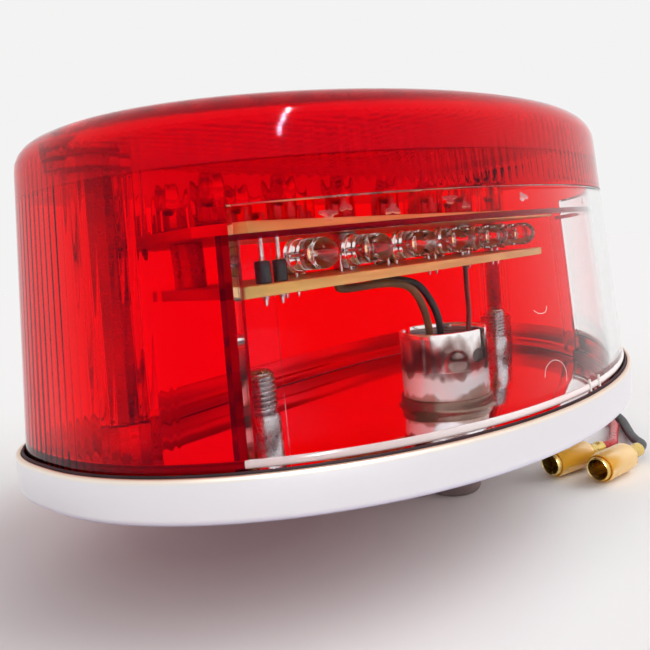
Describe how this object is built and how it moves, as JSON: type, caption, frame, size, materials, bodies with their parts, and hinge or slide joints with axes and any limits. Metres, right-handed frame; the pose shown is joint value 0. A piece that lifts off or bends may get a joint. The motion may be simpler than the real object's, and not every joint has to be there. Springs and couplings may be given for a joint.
{
  "type": "motorcycle tail light",
  "caption": "Motorcycle tail light: red lens with a clear number-plate window over an LED unit, on a chromed pan with threaded studs and loose leads that end in round receptacles.",
  "frame": {"origin": "under the middle of the lamp's outline, on the surface that the mounting studs and the boot stand on", "axes": "+Z is the way the lens faces, which is to the rear of the vehicle; -Y is the number-plate side with the clear window; +X is along the lamp's width, to the right when looking from the number-plate side"},
  "size_m": [0.1388, 0.082, 0.0699],
  "materials": {
    "chrome_sheet": "polished",
    "black_rubber": "matt",
    "red_seal": "matt",
    "zinc_steel": "bright zinc",
    "red_plastic": "translucent, polished",
    "clear_plastic": "clear, polished",
    "board": "bare laminate",
    "clear_resin": "clear, polished",
    "red_resin": "translucent, polished",
    "black_plastic": "satin",
    "resistor_body": "lacquered",
    "tinned_wire": "bright",
    "solder": "bright",
    "bright_socket": "polished",
    "insulator": "matt",
    "spring_steel": "bright",
    "brass": "bright",
    "plug_black": "matt",
    "wire_black": "satin",
    "wire_brown": "satin",
    "wire_dark_red": "satin",
    "lead_red": "satin",
    "lead_black": "satin",
    "sleeve_amber": "clear, tinted"
  },
  "bodies": {
    "base": {"base_pan": "chrome_sheet", "lens_gasket": "black_rubber", "screw_pillars": "zinc_steel", "threaded_posts": "zinc_steel", "mount_studs": "zinc_steel", "stud_dampers": "black_rubber", "socket_shell": "bright_socket", "socket_base": "insulator", "contact_spring": "spring_steel", "socket_boot": "black_rubber", "red_lead": "lead_red", "black_lead": "lead_black", "red_receptacle": "brass", "black_receptacle": "brass", "red_sleeve": "sleeve_amber", "black_sleeve": "sleeve_amber"},
    "lens": {"red_lens": "red_plastic", "plate_window": "clear_plastic", "screw_seals": "red_seal", "upper_board": "board", "lower_board": "board", "board_spacers": "zinc_steel", "board_screws": "zinc_steel", "plate_leds": "clear_resin", "plate_led_leads": "tinned_wire", "tail_leds": "red_resin", "brake_leds": "red_resin", "diodes": "black_plastic", "diode_leads": "tinned_wire", "resistors": "resistor_body", "resistor_leads": "tinned_wire", "solder_joints": "solder", "socket_plug": "plug_black", "plug_pads": "brass", "black_board_wire": "wire_black", "brown_board_wire": "wire_brown", "red_board_wire": "wire_dark_red"},
    "screw_left": {"lens_screw_left": "zinc_steel"},
    "screw_right": {"lens_screw_right": "zinc_steel"},
    "contact_slide": {"contact_carrier": "insulator", "contacts": "brass"}
  },
  "joints": [
    {"name": "lens_lift", "type": "slide", "parent": "base", "child": "lens", "axis": [0, 0, 1], "range_m": [0, 0.06]},
    {"name": "lens_screw_left_turn", "type": "hinge", "parent": "lens", "child": "screw_left", "pos_m": [-0.05575, 0.0082, 0.05], "axis": [0, 0, 1], "continuous": true},
    {"name": "lens_screw_right_turn", "type": "hinge", "parent": "lens", "child": "screw_right", "pos_m": [0.05575, 0.0082, 0.05], "axis": [0, 0, 1], "continuous": true},
    {"name": "contact_press", "type": "slide", "parent": "base", "child": "contact_slide", "axis": [0, 0, -1], "range_m": [0, 0.003], "stiffness_N_per_m": 500, "springref_m": -0.004, "deforming": ["contact_spring"]}
  ]
}
